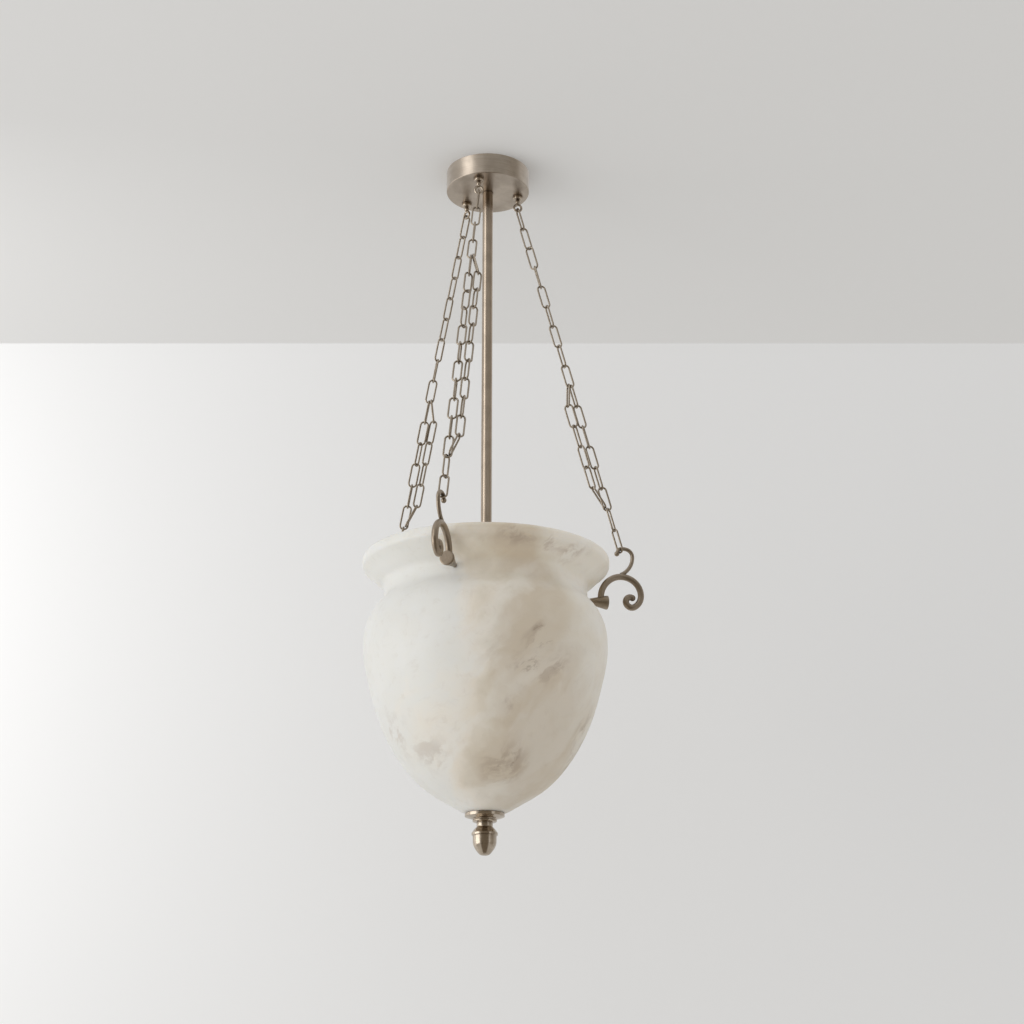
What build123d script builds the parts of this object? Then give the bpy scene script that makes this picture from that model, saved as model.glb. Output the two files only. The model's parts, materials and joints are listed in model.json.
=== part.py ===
from build123d import *
import math
import os

# Alabaster urn pendant on three chains and a centre rod, in millimetres.
# Origin: centre of the ceiling face. +Z is up, -Y is the side seen from the room.

# Ceiling canopy, a turned cup with its open side on the ceiling
canopy_radius = 56.0
canopy_height = 28.8
canopy_wall = 1.6
canopy_floor = 2.5
canopy_edge = 1.2

# Ceiling bracket, a strap with a dropped middle and two slots
strap_end_gap = 4.2
strap_width = 22.0
strap_thickness = 2.5
strap_drop = 9.0
strap_web = 30.0
strap_slot_spacing = 64.0
strap_slot_length = 14.0
strap_slot_width = 5.2
earth_screw_inset = 4.5
earth_screw_radius = 2.0
earth_head_radius = 4.0
earth_head_height = 2.6
earth_slot_width = 1.0

# Hollow threaded nipples and their nuts
nipple_radius = 5.0
nipple_bore = 3.5
nipple_above = 5.5
nipple_in_rod = 20.0
nipple_below = 1.5
nipple_nut_flats = 14.0
nipple_nut_height = 4.0
canopy_washer_radius = 12.0
canopy_washer_thickness = 1.5
thread_gap = 0.12
turning_gap = 0.1

# Terminal block on the canopy floor
terminal_size = (24.0, 11.0, 9.0)
terminal_distance = 32.0
terminal_azimuth = 194.0
terminal_hole = 1.6
terminal_edge = 1.0
terminal_groove = 1.2

# Centre rod
rod_radius = 7.0
rod_length = 556.0

# Lampholder at the rod's lower end
holder_cap_radius = 21.0
holder_cap_height = 21.0
holder_cap_wall = 1.2
holder_cap_top = 2.0
holder_shell_radius = 19.6
holder_shell_wall = 1.8
holder_shell_length = 34.0
holder_lip = 2.0
holder_collar_height = 3.0
insert_roof = 8.0
contact_radius = 4.0
contact_thickness = 1.2
seat_gap = 0.2

# Bulb
bulb_cap_radius = 13.1
bulb_cap_length = 24.0
bulb_tip_length = 4.0
bulb_tip_radius = 4.6
bulb_tip_edge = 1.0
bulb_cap_edge = 2.0
bulb_cap_round = 1.5
bulb_cap_wall = 0.6
bulb_neck_radius = 13.6
bulb_neck_drop = 8.0
bulb_flare_drop = 13.5
bulb_flare_radius = 22.2
bulb_wall = 1.0
bulb_radius = 30.0
bulb_length = 105.0
bulb_gap = 0.3

# Eye bolts under the canopy
eye_circle = 42.0
eye_drop = 24.0
eye_ring_radius = 5.0
eye_wire = 1.5
eye_collar_radius = 6.5
eye_collar_height = 5.0
eye_neck_radius = 2.3
eye_bead_radius = 3.4
eye_thread_radius = 2.5
eye_thread_proud = 1.0
eye_nut_flats = 8.0
eye_nut_height = 4.0
eye_washer_radius = 6.5
eye_washer_thickness = 1.2

# Chain links
link_wire = 1.2
link_width = 12.6
link_gap = 0.4
eye_gap = 0.6
hook_gap = 0.9
side_gap = 0.35

# Hanging points in degrees: name, azimuth, and the turn of every link from the top about its
# chain, where 0 lies in the upright plane through the chain and the rod. Next the spare run
# that hangs beside the chain: its side about the chain and the turn of each of its own links.
hanging_points = (
    ("front", 254.0, (16, 106, 16, 106, 16, 136, 76, 166, 96, 6, 100, 10, 104, 14, 102, 165, 105),
     106, (196, 136, 226, 136, 226, 136, 226, 136, 216, 126, 192)),
    ("rear", 134.0, (90, 0, 90, 0, 90, 0, 90, 150, 46, 136, 46, 116, 46, 136, 46, 136, 78),
     226, (316, 376, 451, 526, 616, 676)),
    ("right", 14.0, (90, 14, 135, 76, 0, 90, 4, 94, 0, 90, 0, 62, 2, 92, 174, 230, 288),
     180, (270, 330, 405, 480, 566, 624)),
)

# Scroll brackets, drawn in their upright plane as distance from the axis and height.
# Bends are pairs of bend radius and turn in degrees, turns to the left positive.
foot_height = -597.0
foot_gap = 1.2
foot_tip_radius = 2.9
foot_taper_start = 3.5
foot_end_radius = 8.9
foot_length = 31.0
foot_round = 1.2
arch_wire = 4.1
arch_start = (151.0, -591.0)
arch_bends = (
    (30.3, -60), (27.0, -60), (23.3, -60), (17.7, -60), (7.9, -60), (7.4, -60), (6.15, -60), (5.75, -60))
hook_wire = 2.5
hook_start = (178.4, -558.2)
hook_heading = 24.0
stem_bend = (27.0, 66.0)
crook_bend = (10.2, 75.0)
top_radius = 17.0
tip_bends = ((3.8, 53.0), (4.6, 0))
hook_bead = 3.4

# Bracket studs through the urn's neck
stud_radius = 2.0
stud_hole = 2.5
stud_in_foot = 17.0
stud_end_gap = 1.0
stud_washer_radius = 6.0
stud_washer_thickness = 1.2
stud_washer_gap = 0.3
stud_nut_flats = 7.0
stud_nut_height = 3.2
stud_proud = 1.5

# Urn, turned from one block
rim_height = -552.0
lip_radius = 155.8
lip_edge = 5.0
lip_inner_edge = 4.0
lip_depth = 9.0
rim_wall = 13.0
neck_radius = 127.6
neck_band = 7.0
body_radius = 152.0
body_height = -668.0
bottom_radius = 22.0
bottom_height = -873.0
urn_wall = 10.0
floor_thickness = 15.0
floor_radius = 20.0
bottom_hole = 4.0

# Shape of the urn's three curves, as shares of each curve's fall and of its change of radius
lip_cove = ((0.25, 0.80), (0.62, 0.33))
shoulder = ((0.217, 0.303), (0.383, 0.631), (0.609, 0.885))
belly = ((0.205, 0.951), (0.449, 0.838), (0.693, 0.634), (0.863, 0.380), (0.966, 0.115))

# Bottom stud, washers and turned flange
bottom_stud_radius = 3.0
bottom_stud_proud = 2.5
bottom_stud_in_finial = 18.0
pad_radius = 19.0
pad_thickness = 2.0
inner_washer_radius = 18.0
inner_washer_thickness = 2.0
inner_nut_flats = 10.0
inner_nut_height = 5.0
flange_radius = 24.2
flange_thickness = 3.6
flange_ring_radius = 14.5
flange_height = 12.0
flange_rim_step = 2.0
flange_rim_drop = 0.8
flange_ogee_flare = 3.0
flange_ogee_drop = 2.2
flange_bead_top = 4.6
flange_bead_low = 1.6
flange_bead_swell = 0.3
flange_waist = 1.2

# Acorn finial
finial_neck_radius = 9.8
finial_neck_length = 2.4
finial_cove_depth = 5.4
finial_cove_flare = 1.6
finial_lip_height = 2.4
finial_lip_slope = 1.2
finial_lip_step = 0.8
finial_rim_radius = 15.9
finial_rim_height = 13.6
finial_body_radius = 14.4
finial_height = 38.0
finial_bore_gap = 2.0


def turned(profile):
    """A solid of revolution about Z from a closed profile face in the XZ plane."""
    return revolve(profile, axis=Axis.Z)


def ring(outer, inner, low, high):
    """A plain ring or disc between two heights."""
    body = Pos(0, 0, (low + high) / 2) * Cylinder(outer, high - low)
    if inner > 0:
        body -= Pos(0, 0, (low + high) / 2) * Cylinder(inner, high - low)
    return body


def hex_nut(flats, bore, low, high):
    """A hexagonal nut between two heights."""
    outline = RegularPolygon(flats / 2, 6, major_radius=False) - Circle(bore)
    return Pos(0, 0, low) * extrude(outline, high - low)


def plane_xz(line):
    """A flat face in the XZ plane from a list of joined edges."""
    return make_face(Plane.XZ * line)


def upright(body, azimuth):
    """Turn a body drawn in the XY plane upright, and swing it to its azimuth."""
    return Rot(0, 0, azimuth) * Rot(90, 0, 0) * body


def bent_wire(start, heading, bends, wire):
    """Round wire in the XY plane along exact straights and bends; also gives its end."""
    x, y = start
    edges = []
    for size, turn in bends:
        angle = math.radians(heading)
        if turn == 0:
            end = (x + size * math.cos(angle), y + size * math.sin(angle))
            edges.append(Line((x, y), end))
        else:
            side = 1 if turn > 0 else -1
            centre = (x - side * size * math.sin(angle), y + side * size * math.cos(angle))
            first = heading - side * 90
            edges.append(CenterArc(centre, size, first, turn))
            last = math.radians(first + turn)
            end = (centre[0] + size * math.cos(last), centre[1] + size * math.sin(last))
            heading += turn
        x, y = end
    path = Wire(edges)
    return sweep((path ^ 0) * Circle(wire), path=path), (x, y)


def radial(body, distance, height, azimuth):
    """Lay a body made about Z along the radius, with its origin at a distance and height."""
    return Rot(0, 0, azimuth) * Pos(distance, 0, height) * Rot(0, 90, 0) * body


# Levels that several pieces share
canopy_inside = -canopy_height + canopy_floor
strap_corner = canopy_radius - canopy_wall - strap_end_gap
strap_half = math.sqrt(strap_corner ** 2 - (strap_width / 2) ** 2)
strap_web_top = -strap_drop
strap_web_low = strap_web_top - strap_thickness
rod_low = -canopy_height - rod_length
eye_ring_height = -canopy_height - eye_drop + eye_wire + eye_ring_radius
eye_height = eye_ring_height - eye_ring_radius
floor_height = bottom_height + floor_thickness
neck_top = foot_height + neck_band / 2
neck_low = foot_height - neck_band / 2


# Where the chain sits in the hook: the crook runs square to the chain there
def find_seat():
    angle = math.radians(hook_heading)
    x, z = hook_start
    for size, turn in (stem_bend, crook_bend):
        x, z = x - size * math.sin(angle), z + size * math.cos(angle)
        angle += math.radians(turn)
        x, z = x + size * math.sin(angle), z - size * math.cos(angle)
    x, z = x - top_radius * math.sin(angle), z + top_radius * math.cos(angle)
    lean = 0.0
    for repeat in range(30):
        square = math.pi + lean
        seat = (x + top_radius * math.sin(square), z - top_radius * math.cos(square))
        lean = math.atan2(seat[0] - eye_circle, eye_height - seat[1])
    return seat[0], seat[1], math.degrees(math.pi + lean - angle)


seat_x, seat_height, seat_turn = find_seat()


# Canopy and ceiling parts
def make_canopy():
    body = ring(canopy_radius, 0, -canopy_height, 0)
    body = fillet(body.edges().group_by(Axis.Z)[0], canopy_edge)
    body -= ring(canopy_radius - canopy_wall, 0, canopy_inside, 0)
    body -= ring(nipple_radius + thread_gap, 0, -canopy_height, canopy_inside)
    hole = ring(eye_thread_radius + thread_gap, 0, -canopy_height, canopy_inside)
    return body - [Rot(0, 0, point[1]) * Pos(eye_circle, 0, 0) * hole for point in hanging_points]


def make_strap():
    half = strap_half
    web = strap_web / 2
    leg = web + strap_drop
    top = [(-half, 0), (-leg, 0), (-web, -strap_drop), (web, -strap_drop), (leg, 0), (half, 0)]
    low = [(x, z - strap_thickness) for x, z in reversed(top)]
    outline = Polyline(*top, *low, close=True)
    body = extrude(plane_xz(outline), strap_width / 2, both=True)
    slot = SlotOverall(strap_slot_length, strap_slot_width)
    for side in (-1, 1):
        cut = extrude(slot, strap_thickness, both=True)
        body -= Pos(side * strap_slot_spacing / 2, 0, 0) * cut
    body -= ring(nipple_radius + thread_gap, 0, strap_web_low, strap_web_top)
    hole = ring(earth_screw_radius + thread_gap, 0, -strap_thickness, 0)
    return body - Pos(earth_screw_inset - strap_half, 0, 0) * hole


def make_earth_screw():
    head_low = -strap_thickness - earth_head_height
    head = ring(earth_head_radius, 0, head_low, -strap_thickness)
    head = fillet(head.edges().group_by(Axis.Z)[0], earth_head_height / 3)
    slot = Pos(0, 0, head_low) * Box(2 * earth_head_radius, earth_slot_width, earth_head_height / 1.5)
    shank = ring(earth_screw_radius, 0, -strap_thickness, 0)
    return Pos(earth_screw_inset - strap_half, 0, 0) * (head - slot + shank)


def make_nipple_upper():
    return ring(nipple_radius, nipple_bore, -canopy_height - nipple_in_rod, strap_web_top + nipple_above)


def make_nipple_nuts():
    nut_bore = nipple_radius + thread_gap
    above_floor = canopy_inside + canopy_washer_thickness
    levels = (strap_web_top, strap_web_low - nipple_nut_height, above_floor)
    return [hex_nut(nipple_nut_flats, nut_bore, low, low + nipple_nut_height) for low in levels]


def make_canopy_washer():
    top = canopy_inside + canopy_washer_thickness
    return ring(canopy_washer_radius, nipple_radius + thread_gap, canopy_inside, top)


def make_terminal_block():
    length, width, height = terminal_size
    body = Box(length, width, height)
    body = fillet(body.edges().filter_by(Axis.Z), terminal_edge)
    pitch = length / 3
    for step in (-1, 0, 1):
        across = Pos(step * pitch, 0, 0) * Rot(90, 0, 0) * Cylinder(terminal_hole, width)
        screw = Pos(step * pitch, 0, height / 4) * Cylinder(terminal_hole, height / 2)
        body -= across + screw
    for step in (-0.5, 0.5):
        body -= Pos(step * pitch, 0, height / 2) * Box(terminal_groove, width, height / 2)
    place = Pos(terminal_distance, 0, canopy_inside + height / 2) * Rot(0, 0, 90)
    return Rot(0, 0, terminal_azimuth) * place * body


# Eye bolts
def make_eye_bolt(azimuth, link_turn):
    top = canopy_inside + eye_washer_thickness + eye_nut_height + eye_thread_proud
    collar_low = -canopy_height - eye_collar_height
    collar = ring(eye_collar_radius, 0, collar_low, -canopy_height)
    collar = fillet(collar.edges().group_by(Axis.Z)[0], eye_collar_height * 0.45)
    neck = ring(eye_neck_radius, 0, eye_ring_height + eye_ring_radius, collar_low)
    bead = Pos(0, 0, (eye_ring_height + eye_ring_radius + collar_low) / 2) * Sphere(eye_bead_radius)
    loop = Pos(0, 0, eye_ring_height) * Rot(90, 0, 0) * Torus(eye_ring_radius, eye_wire)
    stem = ring(eye_thread_radius, 0, -canopy_height, top)
    body = Rot(0, 0, link_turn - 90) * (collar + neck + bead + loop + stem)
    return Rot(0, 0, azimuth) * Pos(eye_circle, 0, 0) * body


def make_eye_nuts():
    low = canopy_inside + eye_washer_thickness
    nut = hex_nut(eye_nut_flats, eye_thread_radius + thread_gap, low, low + eye_nut_height)
    return [Rot(0, 0, point[1]) * Pos(eye_circle, 0, 0) * nut for point in hanging_points]


def make_eye_washers():
    top = canopy_inside + eye_washer_thickness
    washer = ring(eye_washer_radius, eye_thread_radius + thread_gap, canopy_inside, top)
    return [Rot(0, 0, point[1]) * Pos(eye_circle, 0, 0) * washer for point in hanging_points]


# Rod and lampholder
def make_rod():
    return ring(rod_radius, nipple_radius + thread_gap, rod_low, -canopy_height)


def make_nipple_lower():
    low = rod_low - holder_cap_top - nipple_nut_height - nipple_below
    return ring(nipple_radius, nipple_bore, low, rod_low + nipple_in_rod)


def make_holder_cap():
    low = rod_low - holder_cap_height
    body = ring(holder_cap_radius, 0, low, rod_low)
    body = fillet(body.edges().group_by(Axis.Z)[-1], holder_cap_height * 0.45)
    inside = ring(holder_cap_radius - holder_cap_wall, 0, low, rod_low - holder_cap_top)
    inside = fillet(inside.edges().group_by(Axis.Z)[-1], holder_cap_height * 0.4)
    body -= inside
    return body - ring(nipple_radius + thread_gap, 0, rod_low - holder_cap_top, rod_low)


def make_holder_nut():
    high = rod_low - holder_cap_top
    return hex_nut(nipple_nut_flats, nipple_radius + thread_gap, high - nipple_nut_height, high)


holder_low = rod_low - holder_cap_height - holder_shell_length
insert_top = rod_low - holder_cap_height
bore_top = insert_top - insert_roof


def make_holder_shell():
    top = insert_top + holder_lip
    body = ring(holder_shell_radius, holder_shell_radius - holder_shell_wall, holder_low, top)
    foot = ring(holder_shell_radius, bulb_cap_radius + turning_gap, holder_low, holder_low + holder_lip)
    collar_low = insert_top - holder_collar_height
    collar = ring(holder_cap_radius, holder_shell_radius - holder_shell_wall, collar_low, insert_top)
    return body + foot + collar


def make_holder_insert():
    outer = holder_shell_radius - holder_shell_wall
    body = ring(outer, 0, holder_low + holder_lip, insert_top)
    return body - ring(bulb_cap_radius + turning_gap, 0, holder_low + holder_lip, bore_top)


def make_holder_contact():
    return ring(contact_radius, 0, bore_top - contact_thickness, bore_top)


# Bulb
bulb_top = bore_top - contact_thickness - bulb_gap
bulb_cap_top = bulb_top - bulb_tip_length
bulb_cap_low = bulb_cap_top - bulb_cap_length
bulb_low = bulb_top - bulb_length


def make_bulb_tip():
    line = Polyline(
        (0, bulb_top), (bulb_tip_radius / 2, bulb_top), (bulb_tip_radius, bulb_top - bulb_tip_edge),
        (bulb_cap_radius - bulb_cap_edge, bulb_cap_top), (0, bulb_cap_top), close=True)
    return turned(plane_xz(line))


def make_bulb_cap():
    body = ring(bulb_cap_radius, 0, bulb_cap_low, bulb_cap_top)
    body = fillet(body.edges().group_by(Axis.Z)[-1], bulb_cap_round)
    return body - ring(bulb_cap_radius - bulb_cap_wall, 0, bulb_cap_low, bulb_cap_top - 2 * bulb_cap_wall)


def make_globe(inset):
    """The bulb's outline turned into a solid, drawn in from the outside by an inset."""
    globe_z = bulb_low + bulb_radius
    neck = bulb_neck_radius - inset
    globe = bulb_radius - inset
    straight_low = bulb_cap_low - bulb_neck_drop
    line = Polyline((0, bulb_cap_low), (neck, bulb_cap_low), (neck, straight_low))
    flare = Spline(
        (neck, straight_low), (bulb_flare_radius - inset, straight_low - bulb_flare_drop),
        (globe, globe_z), tangents=[(0, -1), (0, -1)])
    bowl = CenterArc((0, globe_z), globe, 0, -90)
    axis = Line((0, globe_z - globe), (0, bulb_cap_low))
    return turned(plane_xz(line + flare + bowl + axis))


def make_bulb_glass():
    return make_globe(0) - make_globe(bulb_wall)


# Urn
def curve(start, end, shape):
    """A line from one vertical tangent to another, through shares of its fall and width."""
    middle = [(end[0] + share * (start[0] - end[0]), start[1] + fall * (end[1] - start[1]))
              for fall, share in shape]
    return start, middle, end


def urn_outline(lip, lip_low, neck, body, foot):
    """The urn's outline from under the lip to the foot, upright at the neck where the studs pass."""
    start, middle, end = curve((lip, lip_low), (neck, neck_top), lip_cove)
    cove = Spline(start, *middle, end, tangents=[(0, -1), (0, -1)])
    band = Line((neck, neck_top), (neck, neck_low))
    start, middle, end = curve((neck, neck_low), (body, body_height),
                               [(fall, 1 - share) for fall, share in shoulder])
    upper = Spline(start, *middle, end, tangents=[(0, -1), (0, -1)])
    start, middle, end = curve((body, body_height), foot, belly)
    lower = Spline(start, *middle, end, tangents=[(0, -1), (-1, -0.28)])
    return cove + band + upper + lower


def make_urn_shell():
    lip_low = rim_height - lip_depth
    outline = urn_outline(lip_radius, lip_low, neck_radius, body_radius, (bottom_radius, bottom_height))
    rim = Polyline((0, rim_height), (lip_radius, rim_height), (lip_radius, lip_low))
    base = Polyline((bottom_radius, bottom_height), (0, bottom_height), (0, rim_height))
    body = turned(plane_xz(rim + outline + base))
    body = fillet(body.edges().group_by(Axis.Z)[-1], lip_edge)
    mouth = lip_radius - rim_wall
    inline = urn_outline(
        mouth, lip_low, neck_radius - urn_wall, body_radius - urn_wall, (floor_radius, floor_height))
    top = Polyline((0, rim_height), (mouth, rim_height), (mouth, lip_low))
    floor = Polyline((floor_radius, floor_height), (0, floor_height), (0, rim_height))
    body -= turned(plane_xz(top + inline + floor))
    body = fillet(body.edges().group_by(Axis.Z)[-1].sort_by(SortBy.RADIUS)[0], lip_inner_edge)
    body -= ring(bottom_hole, 0, bottom_height, floor_height)
    hole = Cylinder(stud_hole, 3 * urn_wall)
    middle = neck_radius - urn_wall / 2
    return body - [radial(hole, middle, foot_height, point[1]) for point in hanging_points]


# Scroll brackets
def make_bracket(azimuth):
    lead_length = arch_start[1] - foot_height
    bends = ((lead_length, 0), *arch_bends)
    arch, end = bent_wire((arch_start[0], foot_height), 90.0, bends, arch_wire)
    body = arch + Pos(*end, 0) * Sphere(arch_wire)
    bends = (stem_bend, crook_bend, (top_radius, seat_turn), *tip_bends)
    hook, end = bent_wire(hook_start, hook_heading, bends, hook_wire)
    body = body + hook + Pos(*end, 0) * Sphere(hook_bead)
    foot_x = neck_radius + foot_gap
    end_x = foot_x + foot_length
    taper_x = foot_x + foot_taper_start
    profile = Polyline(
        (foot_x, 0), (foot_x, foot_tip_radius), (taper_x, foot_tip_radius),
        (end_x - 2 * foot_round, foot_end_radius), (end_x - foot_round * 0.4, foot_end_radius),
        (end_x, foot_end_radius - foot_round), (end_x, 0), close=True)
    foot = Pos(0, foot_height, 0) * revolve(make_face(profile), axis=Axis.X)
    bore = Pos(foot_x + stud_in_foot / 2, foot_height, 0) * Rot(0, 90, 0)
    foot_bore = bore * Cylinder(stud_radius + thread_gap, stud_in_foot)
    return upright(body + foot - foot_bore, azimuth)


nut_face = neck_radius - urn_wall - stud_washer_gap


def make_bracket_studs():
    low = nut_face - stud_washer_thickness - stud_nut_height - stud_proud
    high = neck_radius + foot_gap + stud_in_foot - stud_end_gap
    stud = ring(stud_radius, 0, low, high)
    return [radial(stud, 0, foot_height, point[1]) for point in hanging_points]


def make_bracket_washers():
    low = nut_face - stud_washer_thickness
    washer = ring(stud_washer_radius, stud_radius + thread_gap, low, nut_face)
    return [radial(washer, 0, foot_height, point[1]) for point in hanging_points]


def make_bracket_nuts():
    high = nut_face - stud_washer_thickness
    nut = hex_nut(stud_nut_flats, stud_radius + thread_gap, high - stud_nut_height, high)
    return [radial(nut, 0, foot_height, point[1]) for point in hanging_points]


# Bottom stud, pad, washer, nut, flange and finial
flange_top = bottom_height - seat_gap
flange_low = flange_top - flange_height
finial_top = flange_low - seat_gap
pad_low = floor_height + seat_gap
washer_low = pad_low + pad_thickness
inner_nut_low = washer_low + inner_washer_thickness


def make_bottom_stud():
    top = inner_nut_low + inner_nut_height + bottom_stud_proud
    return ring(bottom_stud_radius, 0, finial_top - bottom_stud_in_finial, top)


def make_bottom_pad():
    return ring(pad_radius, bottom_stud_radius + thread_gap, pad_low, washer_low)


def make_bottom_washer():
    return ring(inner_washer_radius, bottom_stud_radius + thread_gap, washer_low, inner_nut_low)


def make_bottom_nut():
    bore = bottom_stud_radius + thread_gap
    return hex_nut(inner_nut_flats, bore, inner_nut_low, inner_nut_low + inner_nut_height)


def make_flange():
    rim_low = flange_top - flange_thickness
    step = (flange_radius - flange_rim_step, rim_low - flange_rim_drop)
    bead_top = (flange_ring_radius, flange_low + flange_bead_top)
    bead_low = (flange_ring_radius - flange_waist, flange_low + flange_bead_low)
    bead_middle = (flange_ring_radius + flange_bead_swell, (bead_top[1] + bead_low[1]) / 2)
    line = Polyline((0, flange_top), (flange_radius, flange_top), (flange_radius, rim_low), step)
    hollow = (flange_ring_radius + flange_ogee_flare, rim_low - flange_ogee_drop)
    ogee = Spline(step, hollow, bead_top, tangents=[(-1, -0.1), (-0.3, -1)])
    bead = Spline(bead_top, bead_middle, bead_low)
    neck = Polyline(
        bead_low, (finial_neck_radius, flange_low + flange_waist),
        (finial_neck_radius, flange_low), (0, flange_low), (0, flange_top))
    body = turned(plane_xz(line + ogee + bead + neck))
    return body - ring(bottom_stud_radius + thread_gap, 0, flange_low, flange_top)


def make_finial():
    rim = finial_top - finial_rim_height
    lip_top = rim + finial_lip_height
    low = finial_top - finial_height
    neck_end = (finial_neck_radius, finial_top - finial_neck_length)
    cove = (finial_neck_radius + finial_cove_flare, finial_top - finial_cove_depth)
    brim = (finial_rim_radius - finial_lip_step, lip_top + finial_lip_slope)
    cup = (finial_body_radius, rim - finial_lip_step)
    line = Polyline((0, finial_top), (finial_neck_radius, finial_top), neck_end)
    flare = Spline(neck_end, cove, brim, tangents=[(-0.25, -1), (0.7, -1)])
    edge = Polyline(brim, (finial_rim_radius, lip_top), (finial_rim_radius, rim), cup)
    acorn = Spline(
        cup, (finial_body_radius * 0.93, rim - (rim - low) * 0.52),
        (finial_body_radius * 0.52, low + (rim - low) * 0.11), (0, low),
        tangents=[(0, -1), (-1, 0)])
    axis = Line((0, low), (0, finial_top))
    body = turned(plane_xz(line + flare + edge + acorn + axis))
    bore_low = finial_top - bottom_stud_in_finial - finial_bore_gap
    return body - ring(bottom_stud_radius + turning_gap, 0, bore_low, finial_top)


# Chains
fall_x = seat_x - eye_circle
fall_z = eye_height - seat_height
chain_length = math.hypot(fall_x, fall_z)
chain_lean = math.degrees(math.atan2(fall_x, fall_z))
top_reach = eye_wire + 2 * link_wire + eye_gap
low_reach = hook_wire + 2 * link_wire + hook_gap
link_count = len(hanging_points[0][2])
step_overlap = 4 * link_wire + link_gap
link_length = (chain_length + top_reach + low_reach + (link_count - 1) * step_overlap) / link_count
link_pitch = link_length - step_overlap
link_bend = link_width / 2 - link_wire


def make_link():
    """One oval link of round wire, about its own middle, long along Z, in the XZ plane."""
    straight = link_length - 2 * link_wire - 2 * link_bend
    bends = ((straight, 0), (link_bend, 180), (straight, 0), (link_bend, 180))
    wire, end = bent_wire((link_bend, -straight / 2), 90.0, bends, link_wire)
    return Rot(90, 0, 0) * wire


def hang(azimuth, placed):
    """Put a piece made about the chain's own line, hanging down from the origin, on its eye."""
    return Rot(0, 0, azimuth) * Pos(eye_circle, 0, eye_height) * Rot(0, -chain_lean, 0) * placed


def make_links(azimuth, turns, start, stop):
    """Links start to stop - 1 of one chain."""
    link = make_link()
    links = []
    for index in range(start, stop):
        middle = top_reach - link_length / 2 - index * link_pitch
        links.append(hang(azimuth, Pos(0, 0, middle) * Rot(0, 0, turns[index]) * link))
    return links


def make_surplus(azimuth, turns, side, own_turns):
    """Spare links beside a chain, from a leg of the third link above the hook up as far as they reach."""
    last = len(turns) - 3
    first = last - len(own_turns)
    link = make_link()
    joint = link_wire + link_gap / 2
    inside = link_bend - 2 * link_wire - side_gap
    out = inside + math.sqrt((link_pitch + joint) ** 2 - link_pitch ** 2)
    rise = 2 * joint + math.sqrt((2 * link_wire + side_gap) ** 2 - inside ** 2) + side_gap

    def threaded(index):
        turn = turns[index]
        if math.cos(math.radians(turn - side)) < 0:
            turn += 180
        low_wire = top_reach + link_wire - link_length - index * link_pitch
        return (Vector(inside, 0, 0)).rotate(Axis.Z, turn) + Vector(0, 0, low_wire + rise)

    above, below = threaded(first), threaded(last)
    beside = Vector(out, 0, 0).rotate(Axis.Z, side)
    count = len(own_turns)
    links = []
    for index in range(count):
        start = beside + Vector(0, 0, above.Z - index * link_pitch)
        end = start - Vector(0, 0, link_pitch)
        if index == 0:
            start = above
            end = end + (end - start).normalized() * joint
        if index == count - 1:
            end = below
            start = start - (end - start).normalized() * joint
        way = (end - start).normalized()
        swing = math.degrees(math.atan2(way.Y, way.X)) if way.Z > -0.999999 else 0.0
        tilt = math.degrees(math.acos(-way.Z))
        middle = (start + end) * 0.5
        turned_link = Rot(0, 0, swing) * Rot(0, -tilt, 0) * Rot(0, 0, own_turns[index] - swing) * link
        links.append(hang(azimuth, Pos(*middle) * turned_link))
    return links


parts = {
    "canopy": make_canopy(),
    "ceiling_bracket": make_strap(),
    "earth_screw": make_earth_screw(),
    "nipple_upper": make_nipple_upper(),
    "nipple_nuts": make_nipple_nuts(),
    "canopy_washer": make_canopy_washer(),
    "terminal_block": make_terminal_block(),
    "eye_bolt_nuts": make_eye_nuts(),
    "eye_bolt_washers": make_eye_washers(),
    "down_rod": make_rod(),
    "nipple_lower": make_nipple_lower(),
    "holder_cap": make_holder_cap(),
    "holder_nut": make_holder_nut(),
    "holder_shell": make_holder_shell(),
    "holder_insert": make_holder_insert(),
    "holder_contact": make_holder_contact(),
    "bulb_tip": make_bulb_tip(),
    "bulb_cap": make_bulb_cap(),
    "bulb_glass": make_bulb_glass(),
    "urn_shell": make_urn_shell(),
    "bracket_studs": make_bracket_studs(),
    "bracket_washers": make_bracket_washers(),
    "bracket_nuts": make_bracket_nuts(),
    "bottom_stud": make_bottom_stud(),
    "bottom_pad": make_bottom_pad(),
    "bottom_washer": make_bottom_washer(),
    "bottom_nut": make_bottom_nut(),
    "finial_flange": make_flange(),
    "acorn_finial": make_finial(),
}
for name, azimuth, turns, side, own_turns in hanging_points:
    parts["eye_bolt_" + name] = make_eye_bolt(azimuth, turns[0])
    parts["scroll_bracket_" + name] = make_bracket(azimuth)
    parts["chain_top_link_" + name] = make_links(azimuth, turns, 0, 1)
    parts["chain_" + name] = make_links(azimuth, turns, 1, link_count)
    parts["chain_surplus_" + name] = make_surplus(azimuth, turns, side, own_turns)

os.makedirs("parts", exist_ok=True)
for node, shape in parts.items():
    if isinstance(shape, list):
        shape = Compound(children=[Solid(piece.solid().wrapped) for piece in shape])
    export_step(shape, os.path.join("parts", node + ".step"))
print("chain", round(chain_length, 2), "lean", round(chain_lean, 3), "link", round(link_length, 3))
print("eye", eye_circle, round(eye_height, 3), "seat", round(seat_x, 3), round(seat_height, 3))
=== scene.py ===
"""Alabaster urn pendant light: the room, camera, lights and finishes around the CAD pieces.

Everything is in metres in the part's own frame: the ceiling is z = 0, and the lamp hangs below it.
"""
import json
import math

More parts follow.
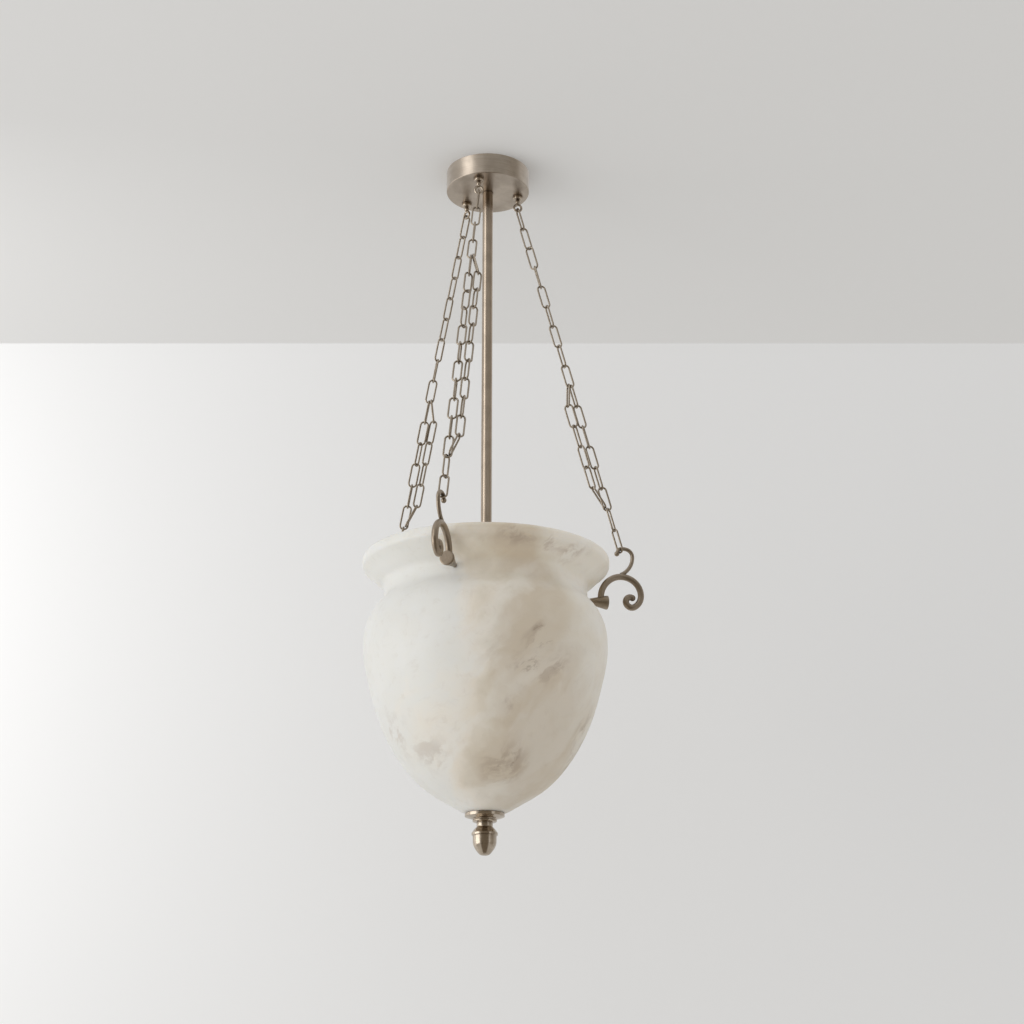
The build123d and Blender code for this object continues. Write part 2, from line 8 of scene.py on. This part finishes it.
import bpy
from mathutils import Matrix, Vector

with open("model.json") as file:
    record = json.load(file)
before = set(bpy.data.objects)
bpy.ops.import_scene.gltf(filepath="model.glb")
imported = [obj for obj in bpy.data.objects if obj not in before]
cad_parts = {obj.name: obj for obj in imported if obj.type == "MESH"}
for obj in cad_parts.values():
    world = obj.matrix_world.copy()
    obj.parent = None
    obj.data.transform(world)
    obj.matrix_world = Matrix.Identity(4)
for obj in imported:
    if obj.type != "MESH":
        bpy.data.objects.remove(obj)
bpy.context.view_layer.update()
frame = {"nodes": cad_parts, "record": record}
nodes = frame["nodes"]


# Shader helper
class Tree:
    """A material whose nodes are added and joined in one call each."""

    def __init__(self, name):
        self.material = bpy.data.materials.new(name)
        self.material.use_nodes = True
        self.nodes = self.material.node_tree.nodes
        self.links = self.material.node_tree.links
        self.shader = next(n for n in self.nodes if n.type == "BSDF_PRINCIPLED")
        self.output = next(n for n in self.nodes if n.type == "OUTPUT_MATERIAL")
        self.place = self.add("ShaderNodeTexCoord").outputs["Object"]

    def put(self, socket, value):
        if isinstance(value, bpy.types.NodeSocket):
            self.links.new(value, socket)
        else:
            socket.default_value = value

    def add(self, kind, **settings):
        node = self.nodes.new(kind)
        for name, value in settings.items():
            setattr(node, name, value)
        return node

    def surface(self, **inputs):
        """Sets or joins the shader's own sockets, whose names are written with underscores."""
        for name, value in inputs.items():
            self.put(self.shader.inputs[name.replace("_", " ")], value)

    def calc(self, operation, *values):
        """One step of arithmetic on numbers or sockets."""
        node = self.add("ShaderNodeMath", operation=operation)
        for socket, value in zip(node.inputs, values):
            self.put(socket, value)
        return node.outputs[0]

    def vector(self, operation, first, second):
        node = self.add("ShaderNodeVectorMath", operation=operation)
        self.put(node.inputs[0], first)
        self.put(node.inputs["Scale" if operation == "SCALE" else 1], second)
        return node.outputs[0]

    def mapped(self, vector, scale=(1, 1, 1), turn=(0, 0, 0)):
        node = self.add("ShaderNodeMapping")
        self.put(node.inputs["Vector"], vector)
        node.inputs["Scale"].default_value = scale
        node.inputs["Rotation"].default_value = [math.radians(a) for a in turn]
        return node.outputs[0]

    def noise(self, vector, scale, detail=4.0, roughness=0.55, distortion=0.0, colour=False):
        """Noise with about scale patches to a metre, as one number or as three in a colour."""
        node = self.add("ShaderNodeTexNoise")
        for name, value in (("Vector", vector), ("Scale", scale), ("Detail", detail),
                            ("Roughness", roughness), ("Distortion", distortion)):
            self.put(node.inputs[name], value)
        return node.outputs[1 if colour else 0]

    def span(self, value, low, high, to_low=0.0, to_high=1.0):
        """value from low to high, turned smoothly into to_low to to_high."""
        node = self.add("ShaderNodeMapRange", interpolation_type="SMOOTHSTEP")
        for name, number in (("Value", value), ("From Min", low), ("From Max", high),
                             ("To Min", to_low), ("To Max", to_high)):
            self.put(node.inputs[name], number)
        return node.outputs[0]

    def ramp(self, value, stops):
        node = self.add("ShaderNodeValToRGB")
        steps = node.color_ramp.elements
        for index, (place, colour) in enumerate(stops):
            step = steps[index] if index < 2 else steps.new(place)
            step.position, step.color = place, (*colour, 1)
        self.put(node.inputs[0], value)
        return node.outputs[0]

    def mix(self, factor, first, second):
        node = self.add("ShaderNodeMix", data_type="RGBA")
        self.put(node.inputs[0], factor)
        for socket, value in zip(node.inputs[6:8], (first, second)):
            self.put(socket, (*value, 1) if isinstance(value, tuple) else value)
        return node.outputs[2]

    def near(self, vector, centre, reach, amount):
        """amount around a point, falling to nothing at the reach."""
        away = self.add("ShaderNodeVectorMath", operation="DISTANCE")
        self.put(away.inputs[0], vector)
        self.put(away.inputs[1], centre)
        return self.span(away.outputs["Value"], reach, reach * 0.2, 0.0, amount)

    def bump(self, height, strength, distance):
        node = self.add("ShaderNodeBump")
        self.put(node.inputs["Strength"], strength)
        self.put(node.inputs["Distance"], distance)
        self.put(node.inputs["Height"], height)
        self.put(self.shader.inputs["Normal"], node.outputs[0])

    def milky(self, weight, radius, scale):
        """Light that goes a little way into the stone or glass and comes out again."""
        self.surface(Subsurface_Weight=weight, Subsurface_Radius=radius, Subsurface_Scale=scale)

    def open_face(self, reach):
        """1 on open faces, towards 0 in corners and hollows."""
        node = self.add("ShaderNodeAmbientOcclusion", samples=6)
        node.inputs["Distance"].default_value = reach
        return self.span(node.outputs["AO"], 0.25, 0.95)


# Finishes
# how the grain is stretched: even on castings, round turned pieces, along drawn tube
EVEN_GRAIN = (1, 1, 1)
TURNED_GRAIN = (0.06, 0.06, 3.0)
DRAWN_GRAIN = (3.0, 3.0, 0.03)
HOLLOW_ROUGHNESS = 0.18


def make_nickel(name, bright, roughness, grain=EVEN_GRAIN, grain_depth=0.00002, reach=0.004):
    """Antique nickel plate: warm grey, browner in hollows, with soft wear and a fine grain."""
    t = Tree(name)
    patches = t.noise(t.place, 38, 5, 0.6, 0.3)
    fine = t.noise(t.mapped(t.place, grain), 420, 3, 0.6)
    face = t.open_face(reach)
    age = t.calc("MULTIPLY", t.span(patches, 0.34, 0.62, 0.78, 1.0), face)
    colour = t.mix(age, TARNISH, bright)
    colour = t.mix(t.span(fine, 0.35, 0.75, 0.0, 0.25), colour, TARNISH)
    rough = t.calc("ADD", t.span(patches, 0.3, 0.7, roughness + 0.03, roughness - 0.02),
                   t.span(face, 0.0, 1.0, HOLLOW_ROUGHNESS, 0.0))
    t.surface(Base_Color=colour, Metallic=1.0, Roughness=rough)
    t.bump(fine, 0.35, grain_depth)
    return t.material


def make_metal(name, colour, stain, roughness):
    """A plain plated or bare metal with light staining and tool marks."""
    t = Tree(name)
    stains = t.noise(t.place, 90, 4, 0.6)
    marks = t.noise(t.place, 600, 3, 0.5)
    t.surface(Base_Color=t.mix(t.span(stains, 0.4, 0.7), colour, stain), Metallic=1.0,
              Roughness=t.span(stains, 0.3, 0.7, roughness, roughness + 0.12))
    t.bump(marks, 0.3, 0.00002)
    return t.material


def make_solid(name, colour, shade, roughness, scale=300, depth=0.00003):
    """Moulded plastic, porcelain or soft pad: even colour with a faint mottle and fine skin."""
    t = Tree(name)
    mottle = t.noise(t.place, scale * 0.2, 3)
    skin = t.noise(t.place, scale, 4)
    t.surface(Base_Color=t.mix(t.span(mottle, 0.35, 0.65), colour, shade),
              Roughness=t.span(skin, 0.3, 0.7, roughness, roughness + 0.1))
    t.bump(skin, 0.3, depth)
    return t.material


def make_opal(name):
    """White opal glass of the bulb: milky with a glossy skin."""
    t = Tree(name)
    haze = t.noise(t.place, 30, 3)
    t.surface(Base_Color=t.mix(t.span(haze, 0.3, 0.7), (0.86, 0.85, 0.82), (0.80, 0.79, 0.76)),
              Roughness=t.span(haze, 0.3, 0.7, 0.08, 0.16))
    t.milky(0.3, (1.0, 0.95, 0.9), 0.006)
    t.bump(haze, 0.1, 0.0002)
    return t.material


# Alabaster: colours from pale to brown and back to pale along the stone's tone, partly the stone's
# own colour and partly painted shading across the urn
STONE_AND_SHADE = ((0.0, (0.785, 0.785, 0.755)), (0.26, (0.795, 0.787, 0.748)), (0.36, (0.83, 0.795, 0.73)),
         (0.45, (0.81, 0.75, 0.66)), (0.52, (0.72, 0.66, 0.56)), (0.60, (0.645, 0.567, 0.456)),
         (0.70, (0.635, 0.56, 0.45)), (0.84, (0.715, 0.66, 0.565)), (1.0, (0.79, 0.745, 0.67)))
MILK = (0.86, 0.855, 0.835)
SMEAR = (0.42, 0.33, 0.25)
VEIN = (0.27, 0.19, 0.13)
# the tone grows across the urn from one side to the other, and cloud and bands shift it; this is
# partly the stone's colour and partly painted shading: pale on the left, darkest right of the
# middle, pale again at the right edge
TONE_AND_SHADE_ACROSS = 3.1
TONE_MIDDLE = 0.46
CLOUD_SHIFT = 0.70
BAND_SHIFT = 0.34
# how far, in metres, the pattern wanders and ripples, and how the bands lie
WANDER = 0.07
RIPPLE = 0.022
BAND_TILT = (0, 42, 0)
BAND_STRETCH = (0.50, 1.0, 1.4)
# how strongly milk, mottle, smears and veins cover the stone
MILK_COVER = 0.22
MOTTLE_COVER = 0.12
SMEAR_COVER = 0.72
VEIN_COVER = 0.40
VEIN_WIDTH = 0.035
# where the tone is shifted along the ramp: middle, reach and amount. The zone at the neck under the
# lip is painted light, paler to fill the shade that the lip casts there; the others make the stone
# paler or browner in patches
TONE_PATCHES_AND_PAINTED_LIGHT = (
    ((0.0, -0.150, -0.565), 0.090, 0.03), ((0.125, -0.085, -0.565), 0.080, 0.30),
    # the first zone on the next line, at the neck, is painted light: paler where the lip shades it
    ((0.03, -0.122, -0.597), 0.070, -0.08), ((0.0, -0.070, -0.835), 0.110, 0.05),
    ((0.135, -0.060, -0.680), 0.110, 0.10), ((0.085, -0.085, -0.775), 0.085, -0.14),
)
# where smears and veins gather on the stone: middle, reach and amount
STAINS = (
    ((0.048, -0.142, -0.570), 0.030, 1.0), ((0.085, -0.125, -0.578), 0.028, 0.8),
    ((0.108, -0.105, -0.583), 0.024, 0.8), ((0.069, -0.134, -0.687), 0.026, 1.0),
    ((0.060, -0.134, -0.720), 0.028, 0.9), ((0.078, -0.118, -0.737), 0.022, 0.6),
    ((0.030, -0.086, -0.826), 0.042, 0.8), ((-0.100, -0.055, -0.785), 0.045, 0.4),
    ((-0.060, -0.080, -0.815), 0.035, 0.45), ((0.035, -0.123, -0.768), 0.018, 0.7),
)


def make_alabaster(name):
    """Honed alabaster: milk white to beige stone, soft slanting bands, brown smears, thin veins,
    with shading painted into its colour across the urn.
    """
    t = Tree(name)
    middle = (0.5, 0.5, 0.5)
    wander = t.vector("SUBTRACT", t.noise(t.place, 8, 3, 0.5, colour=True), middle)
    ripple = t.vector("SUBTRACT", t.noise(t.place, 30, 4, 0.6, colour=True), middle)
    place = t.vector("ADD", t.place, t.vector("SCALE", wander, WANDER))
    place = t.vector("ADD", place, t.vector("SCALE", ripple, RIPPLE))
    slant = t.mapped(t.mapped(place, turn=BAND_TILT), scale=BAND_STRETCH)
    cloud = t.noise(place, 7.5, 5, 0.5)
    band = t.noise(slant, 15, 4, 0.5, 0.2)
    mottle = t.noise(place, 85, 5, 0.65)
    split = t.add("ShaderNodeSeparateXYZ")
    t.put(split.inputs["Vector"], place)
    # painted shading: the tone, and so the colour, runs from pale on the left through brown to pale
    # at the right edge; partly it is also the stone's own colour
    tone = t.calc("MULTIPLY_ADD", split.outputs["X"], TONE_AND_SHADE_ACROSS, TONE_MIDDLE)
    for pattern, shift in ((cloud, CLOUD_SHIFT), (band, BAND_SHIFT)):
        tone = t.calc("ADD", tone, t.calc("MULTIPLY_ADD", pattern, shift, -shift / 2))
    # the neck zone among these paints light into the stone's colour under the lip
    for centre, reach, amount in TONE_PATCHES_AND_PAINTED_LIGHT:
        tone = t.calc("ADD", tone, t.near(place, centre, reach, amount))
    colour = t.ramp(tone, STONE_AND_SHADE)
    colour = t.mix(t.span(band, 0.56, 0.40, 0.0, MILK_COVER), colour, MILK)
    colour = t.mix(t.span(mottle, 0.52, 0.76, 0.0, MOTTLE_COVER), colour, SMEAR)
    gather = t.span(t.noise(t.place, 6, 2), 0.57, 0.72, 0.0, 0.8)
    for centre, reach, amount in STAINS:
        gather = t.calc("MAXIMUM", gather, t.near(place, centre, reach, amount))
    streak = t.noise(slant, 44, 6, 0.62, 0.2)
    smear = t.calc("MULTIPLY", gather, t.span(streak, 0.45, 0.61))
    colour = t.mix(t.calc("MULTIPLY", smear, SMEAR_COVER), colour, SMEAR)
    ridge = t.calc("ABSOLUTE", t.calc("SUBTRACT", t.noise(slant, 30, 5, 0.58, 0.4), 0.5))
    broken = t.calc("MULTIPLY", t.span(gather, 0.3, 0.9), t.span(mottle, 0.46, 0.56))
    vein = t.calc("MULTIPLY", t.span(ridge, VEIN_WIDTH, 0.0), broken)
    colour = t.mix(t.calc("MULTIPLY", vein, VEIN_COVER), colour, VEIN)
    t.surface(Base_Color=colour, Roughness=t.span(mottle, 0.3, 0.7, 0.38, 0.50), IOR=1.52)
    t.milky(0.5, (1.0, 0.90, 0.75), 0.016)
    relief = t.calc("MULTIPLY_ADD", vein, -0.25, t.calc("MULTIPLY", t.noise(place, 26, 4), 0.5))
    t.bump(relief, 0.35, 0.0010)
    return t.material


TARNISH = (0.17, 0.13, 0.095)
drawn = make_nickel("antique_nickel_drawn", (0.47, 0.39, 0.31), 0.20, DRAWN_GRAIN)
cast = make_nickel("antique_nickel_cast", (0.37, 0.305, 0.235), 0.36, EVEN_GRAIN, 0.00006, 0.006)
wire = make_nickel("antique_nickel_wire", (0.42, 0.36, 0.29), 0.28, reach=0.002)
polished = make_nickel("antique_nickel_polished", (0.52, 0.445, 0.36), 0.20, TURNED_GRAIN, 0.00001)

SLOTS = {
    "antique_nickel":
        make_nickel("antique_nickel_turned", (0.48, 0.415, 0.345), 0.30, TURNED_GRAIN, 0.00003),
    "zinc_steel": make_metal("zinc_steel", (0.52, 0.53, 0.54), (0.36, 0.36, 0.37), 0.34),
    "bare_brass": make_metal("bare_brass", (0.66, 0.48, 0.22), (0.38, 0.26, 0.12), 0.30),
    "bulb_screw_cap": make_metal("bulb_screw_cap", (0.66, 0.66, 0.67), (0.45, 0.45, 0.46), 0.30),
    "white_plastic": make_solid("white_plastic", (0.78, 0.78, 0.76), (0.72, 0.72, 0.70), 0.35),
    "white_porcelain": make_solid("white_porcelain", (0.82, 0.81, 0.78), (0.76, 0.75, 0.71), 0.40),
    "black_insulator": make_solid("black_insulator", (0.03, 0.03, 0.03), (0.045, 0.04, 0.04), 0.25),
    "soft_pad": make_solid("soft_pad", (0.06, 0.06, 0.06), (0.09, 0.085, 0.08), 0.80, 500, 0.0001),
    "opal_glass": make_opal("opal_glass"),
    "alabaster": make_alabaster("alabaster"),
}
# pieces of antique nickel that are made or polished in another way than the turned ones
SPECIAL = {"down_rod": drawn, "scroll_bracket": cast, "eye_bolt_front": polished,
           "eye_bolt_rear": polished, "eye_bolt_right": polished, "chain": wire,
           "acorn_finial": polished, "finial_flange": polished}


def finish_for(node, slot):
    for start, material in SPECIAL.items():
        if node.startswith(start):
            return material
    return SLOTS[slot]


for piece in frame["record"]["subparts"]:
    obj = nodes[piece["node"]]
    material = finish_for(piece["node"], piece["material_slot"])
    if not obj.material_slots:
        obj.data.materials.append(material)
    for place in obj.material_slots:
        place.material = material


# Room
def sheet(name, corners, material, sees):
    """A flat four-cornered sheet of the room, seen only by the kinds of ray named."""
    mesh = bpy.data.meshes.new(name)
    mesh.from_pydata(corners, [], [(0, 1, 2, 3)])
    mesh.materials.append(material)
    obj = bpy.data.objects.new(name, mesh)
    bpy.context.scene.collection.objects.link(obj)
    for kind in ("camera", "diffuse", "glossy", "transmission", "volume_scatter", "shadow"):
        setattr(obj, "visible_" + kind, kind in sees)


def paint(name, colour, one_sided=False, glow=0.0):
    """Matt wall paint. A one-sided sheet is clear from behind, so that it never hides the light."""
    t = Tree(name)
    # emission is used only by the glowing cards, which are painted highlights in the metal
    t.surface(Base_Color=(*colour, 1), Roughness=0.9, Specular_IOR_Level=0.0,
              Emission_Color=(1, 1, 1, 1), Emission_Strength=glow)
    if one_sided:
        clear = t.add("ShaderNodeBsdfTransparent")
        side = t.add("ShaderNodeNewGeometry").outputs["Backfacing"]
        both = t.add("ShaderNodeMixShader")
        for socket, value in zip(both.inputs, (side, t.shader.outputs[0], clear.outputs[0])):
            t.put(socket, value)
        t.put(t.output.inputs["Surface"], both.outputs[0])
    return t.material


def card(name, start, end, low, high, colour, glow=0.0):
    """An upright sheet that only glossy rays see: a dark side or a window of the room, in the metal.

    start and end are its two ends from above, low and high its lower and upper edge. A dark sheet is
    a painted dark reflection in the metal, and a glowing one a painted highlight, no lamp.
    """
    sheet(name, [(*start, low), (*end, low), (*end, high), (*start, high)],
          paint(name + "_paint", colour, glow=glow), ("glossy",))


WALL_Y = 0.560
CEILING_Z = 0.0004  # a hair above the canopy's face, so that the two don't share a plane
FLOOR_Z = -2.60
REACH = 6.0
# the dark lower part of the room that the metal shows, a painted dark reflection seen only by glossy
# rays, and its edge behind the camera
DARK_Z = -2.5
DARK_EDGE = ((-2.0, -2.5), (2.2, -2.5))
near_left, near_right, far_left, far_right = (
    (-REACH, -REACH), (REACH, -REACH), (-REACH, WALL_Y), (REACH, WALL_Y))
sheet("ceiling", [(*corner, CEILING_Z) for corner in (near_left, far_left, far_right, near_right)],
      paint("ceiling_paint", (0.89, 0.89, 0.89), True), ("camera",))
sheet("wall", [(*far_left, FLOOR_Z), (*far_right, FLOOR_Z), (*far_right, CEILING_Z),
               (*far_left, CEILING_Z)],
      paint("wall_paint", (0.87, 0.87, 0.87), True), ("camera", "glossy"))
sheet("floor", [(*near_left, FLOOR_Z), (*near_right, FLOOR_Z), (REACH, REACH, FLOOR_Z),
                (-REACH, REACH, FLOOR_Z)],
      paint("floor_paint", (0.78, 0.77, 0.75)), ("camera", "diffuse", "glossy", "shadow"))
# painted reflections: dark and grey sheets that only the metal's reflections show, standing for the
# darker side of the room
card("dark_card", *DARK_EDGE, DARK_Z, 0.1, (0.28, 0.24, 0.19))
card("grey_card", (-0.6, -3.2), (3.2, -2.0), 0.1, 3.0, (0.62, 0.61, 0.59))
card("side_card", (3.2, -2.0), (3.4, 0.55), DARK_Z, 3.0, (0.56, 0.53, 0.49))
# painted highlights: glowing sheets, no lamps, that only the metal's reflections show
card("bright_card", (-2.58, -1.09), (-1.84, -2.11), 0.25, 1.35, (0.8, 0.8, 0.8), 2.0)
card("bright_top", (-2.75, -0.75), (-1.84, -2.11), 1.35, 2.10, (0.8, 0.8, 0.8), 1.5)
# painted dark reflection: a dark floor sheet that only the metal's reflections show
sheet("dark_floor", [(*corner, DARK_Z) for corner in (*DARK_EDGE, (0.5, -0.1), (-0.4, -0.1))],
      paint("dark_floor_paint", (0.26, 0.22, 0.175)), ("glossy",))

# Lights
world = bpy.data.worlds.new("room_light")
bpy.context.scene.world = world
world.use_nodes = True
sky = next(n for n in world.node_tree.nodes if n.type == "BACKGROUND")
sky.inputs["Color"].default_value = (1.0, 0.995, 0.985, 1)
sky.inputs["Strength"].default_value = 0.745


def area_light(name, place, target, size, energy):
    """A one-sided rectangular lamp at a place, facing a target."""
    data = bpy.data.lights.new(name, "AREA")
    data.shape = "RECTANGLE"
    data.size, data.size_y = size
    data.energy = energy
    obj = bpy.data.objects.new(name, data)
    bpy.context.scene.collection.objects.link(obj)
    obj.location = place
    aim = Vector(target) - Vector(place)
    obj.rotation_euler = aim.to_track_quat("-Z", "Y").to_euler()


area_light("window", (-2.7, -0.9, -0.95), (0, 0, -0.5), (2.4, 1.6), 21)
area_light("wall_wash", (-1.5, -0.35, -0.42), (-1.7, WALL_Y, -0.42), (0.8, 1.0), 7.5)

# Camera, found from the ceiling line, the ellipses of the lip and canopy, and the rod
camera_data = bpy.data.cameras.new("camera")
camera_data.lens = 63.28
camera_data.sensor_width = 36.0
camera = bpy.data.objects.new("camera", camera_data)
bpy.context.scene.collection.objects.link(camera)
camera.location = (0.0329, -2.1759, -1.2343)
camera.rotation_euler = (math.radians(108.94), 0, 0)
bpy.context.scene.camera = camera
bpy.context.scene.view_settings.view_transform = "Standard"
